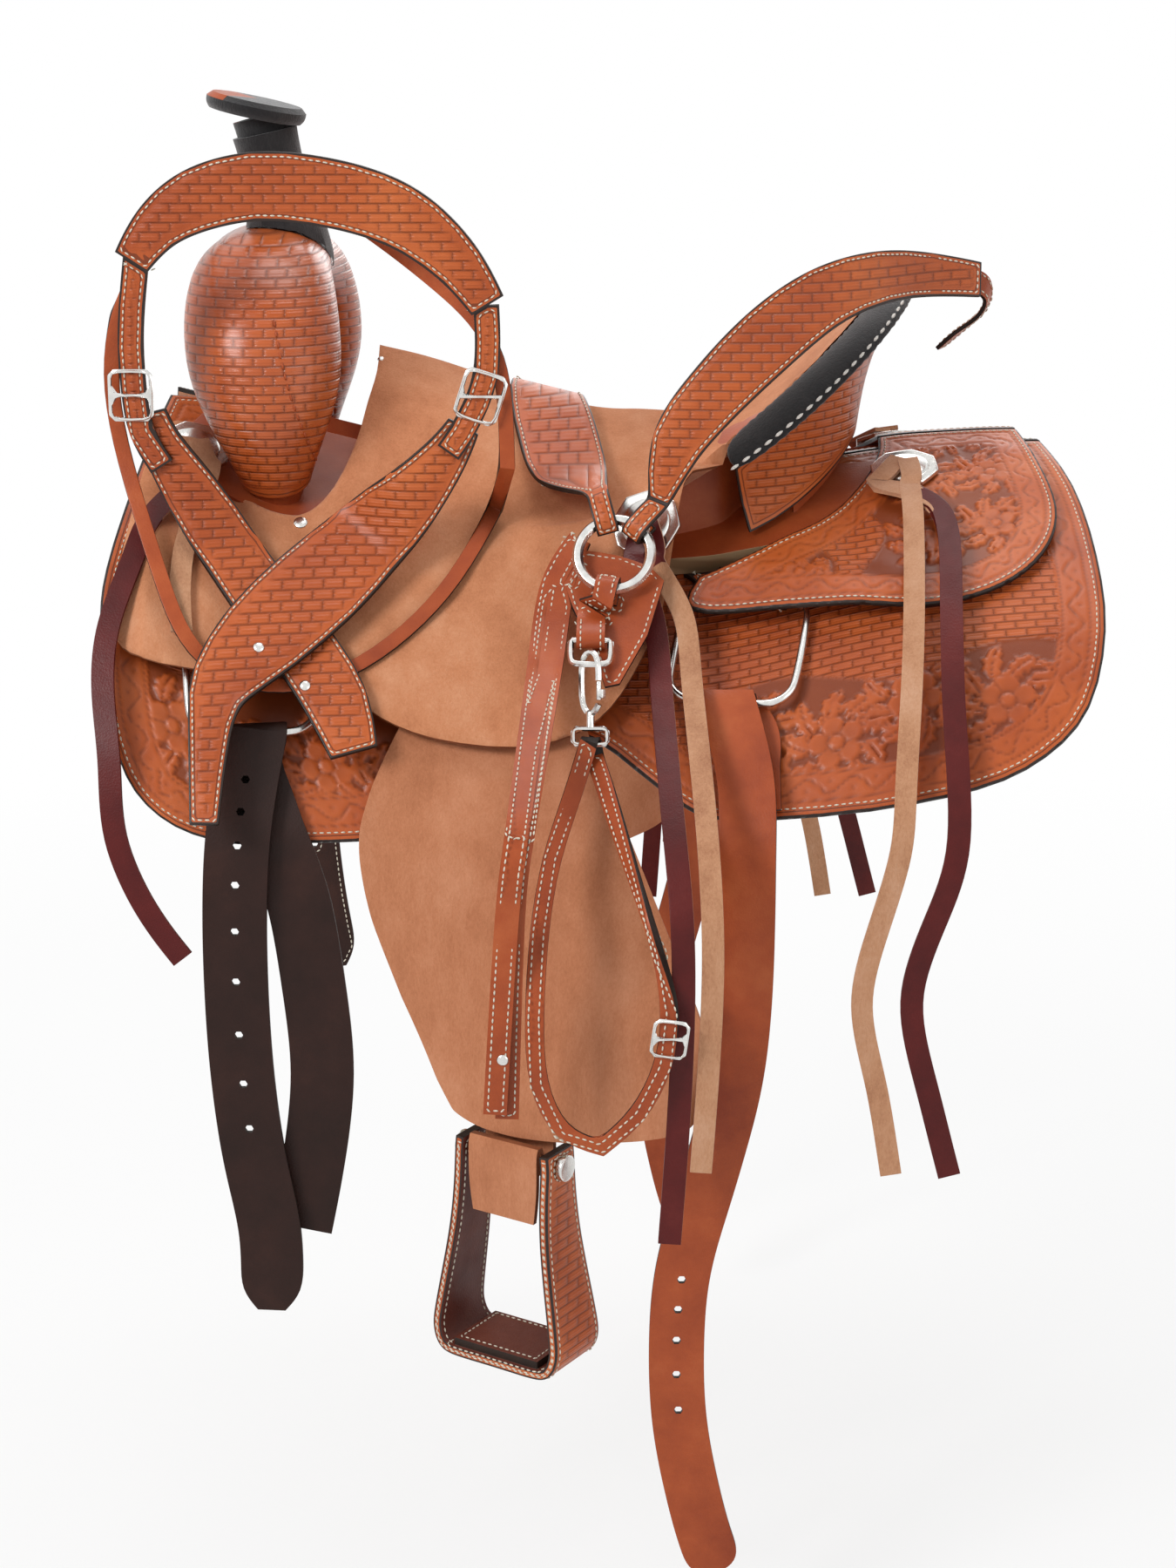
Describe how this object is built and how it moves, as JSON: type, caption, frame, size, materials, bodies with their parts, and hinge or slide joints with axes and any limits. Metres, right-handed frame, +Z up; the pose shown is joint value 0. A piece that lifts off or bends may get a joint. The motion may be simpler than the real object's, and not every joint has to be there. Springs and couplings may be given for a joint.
{
  "type": "western trail saddle",
  "caption": "Western trail saddle with horn, deep seat, tooled skirts, rigging rings, fenders and hung stirrups, dressed with a matching headstall and breast collar.",
  "frame": {"origin": "on the centre plane under the seat, at the line of the rack rail or horse's spine that the lining rests over", "axes": "+X towards the cantle, -X towards the horn, -Y the near (left) side that the picture shows, +Z up"},
  "size_m": [0.7163, 0.7844, 1.0573],
  "materials": {
    "tooled_leather": "vegetable-tanned skirting, basket-weave and floral tooling, semi-gloss",
    "roughout_leather": "rough-out flesh side, matt",
    "latigo_leather": "oiled dark latigo, satin",
    "string_leather": "oiled burgundy thong, satin",
    "black_leather": "black suede and smooth leather",
    "tree_wood": "bare laminated wood",
    "fleece": "cropped wool pile",
    "nickel": "nickel plate, polished"
  },
  "bodies": {
    "saddle": {"cantle_back": "tooled_leather", "cantle_roll": "black_leather", "concho_front_left": "nickel", "concho_front_right": "nickel", "concho_middle_left": "nickel", "concho_middle_right": "nickel", "concho_rear_left": "nickel", "concho_rear_right": "nickel", "fleece_lining": "fleece", "fork_cover": "tooled_leather", "front_rigging_left": "tooled_leather", "front_rigging_right": "tooled_leather", "horn": "tooled_leather", "horn_wrap": "black_leather", "rear_jockey_left": "tooled_leather", "rear_jockey_right": "tooled_leather", "rear_rigging_left": "tooled_leather", "rear_rigging_right": "tooled_leather", "saddle_tree": "tree_wood", "seat_leather": "tooled_leather", "skirt_left": "tooled_leather", "skirt_right": "tooled_leather", "strings_front_left": "string_leather", "strings_front_right": "string_leather", "strings_middle_left": "string_leather", "strings_middle_right": "string_leather", "strings_rear_left": "string_leather", "strings_rear_right": "string_leather"},
    "headstall": {"headstall_crown": "tooled_leather", "cheek_left": "tooled_leather", "cheek_right": "tooled_leather", "throat_strap": "tooled_leather", "cheek_buckle_left": "nickel", "cheek_buckle_right": "nickel"},
    "breast_collar": {"breast_ring": "nickel", "collar_arm_near": "tooled_leather", "collar_arm_long": "tooled_leather", "tug_strap": "tooled_leather", "collar_gusset": "tooled_leather", "collar_dee": "nickel"},
    "snap": {"snap_body": "nickel", "tie_strap": "tooled_leather", "tie_buckle": "nickel"},
    "snap_gate": {"snap_gate": "nickel"},
    "latigo": {"latigo": "latigo_leather"},
    "off_billet": {"off_billet": "latigo_leather"},
    "fender_left": {"fender_left": "roughout_leather", "stirrup_leather_left": "roughout_leather", "stirrup_bolt_left": "nickel"},
    "stirrup_left": {"stirrup_left": "tooled_leather"},
    "front_dee_left": {"front_dee_left": "nickel"},
    "rear_dee_left": {"rear_dee_left": "nickel"},
    "rear_billet_left": {"rear_billet_left": "tooled_leather"},
    "fender_right": {"fender_right": "roughout_leather", "stirrup_leather_right": "roughout_leather", "stirrup_bolt_right": "nickel"},
    "stirrup_right": {"stirrup_right": "tooled_leather"},
    "front_dee_right": {"front_dee_right": "nickel"},
    "rear_dee_right": {"rear_dee_right": "nickel"},
    "rear_billet_right": {"rear_billet_right": "tooled_leather"}
  },
  "joints": [
    {"name": "fender_swing_left", "type": "hinge", "parent": "saddle", "child": "fender_left", "pos_m": [-0.05, -0.13756, -0.01194], "axis": [0, 0.9848, -0.1736], "range_deg": [-3, 6]},
    {"name": "stirrup_swing_left", "type": "hinge", "parent": "fender_left", "child": "stirrup_left", "pos_m": [-0.052, -0.311, -0.384], "axis": [0.8387, -0.5446, 0], "range_deg": [-34, 34]},
    {"name": "front_dee_swing_left", "type": "hinge", "parent": "saddle", "child": "front_dee_left", "pos_m": [-0.243, -0.18669, -0.02307], "axis": [-0.9874, -0.158, 0], "range_deg": [0, 6]},
    {"name": "latigo_swing", "type": "hinge", "parent": "front_dee_left", "child": "latigo", "pos_m": [-0.23426, -0.24132, -0.09406], "axis": [-0.9874, -0.158, 0], "range_deg": [0, 8]},
    {"name": "rear_dee_swing_left", "type": "hinge", "parent": "saddle", "child": "rear_dee_left", "pos_m": [0.116, -0.15955, -0.01573], "axis": [-0.9649, 0.2626, 0], "range_deg": [0, 5]},
    {"name": "rear_billet_left_swing", "type": "hinge", "parent": "rear_dee_left", "child": "rear_billet_left", "pos_m": [0.09834, -0.22444, -0.07554], "axis": [-0.9649, 0.2626, 0], "range_deg": [0, 6]},
    {"name": "fender_swing_right", "type": "hinge", "parent": "saddle", "child": "fender_right", "pos_m": [-0.05, 0.13756, -0.01194], "axis": [0, 0.9848, 0.1736], "range_deg": [-3, 6]},
    {"name": "stirrup_swing_right", "type": "hinge", "parent": "fender_right", "child": "stirrup_right", "pos_m": [-0.052, 0.311, -0.384], "axis": [0.8387, 0.5446, 0], "range_deg": [-34, 34]},
    {"name": "front_dee_swing_right", "type": "hinge", "parent": "saddle", "child": "front_dee_right", "pos_m": [-0.243, 0.18669, -0.02307], "axis": [0.9874, -0.158, 0], "range_deg": [0, 6]},
    {"name": "off_billet_swing", "type": "hinge", "parent": "front_dee_right", "child": "off_billet", "pos_m": [-0.23426, 0.24132, -0.09406], "axis": [0.9874, -0.158, 0], "range_deg": [0, 8]},
    {"name": "rear_dee_swing_right", "type": "hinge", "parent": "saddle", "child": "rear_dee_right", "pos_m": [0.116, 0.15955, -0.01573], "axis": [0.9649, 0.2626, 0], "range_deg": [0, 5]},
    {"name": "rear_billet_right_swing", "type": "hinge", "parent": "rear_dee_right", "child": "rear_billet_right", "pos_m": [0.09834, 0.22444, -0.07554], "axis": [0.9649, 0.2626, 0], "range_deg": [0, 6]},
    {"name": "headstall_lift", "type": "slide", "parent": "saddle", "child": "headstall", "axis": [0, 0, 1], "range_m": [0, 0.32]},
    {"name": "breast_collar_lift", "type": "slide", "parent": "saddle", "child": "breast_collar", "axis": [0, 0, 1], "range_m": [0, 0.32]},
    {"name": "snap_swing", "type": "hinge", "parent": "breast_collar", "child": "snap", "pos_m": [0.0015, -0.24509, -0.04299], "axis": [-1, 0, 0], "range_deg": [0, 25]},
    {"name": "snap_gate_swing", "type": "hinge", "parent": "snap", "child": "snap_gate", "pos_m": [0.00748, -0.25894, -0.06506], "axis": [-0.6614, -0.7029, 0.2617], "range_deg": [0, 26], "stiffness_Nm_per_rad": 0.03, "springref_deg": -22.92}
  ]
}
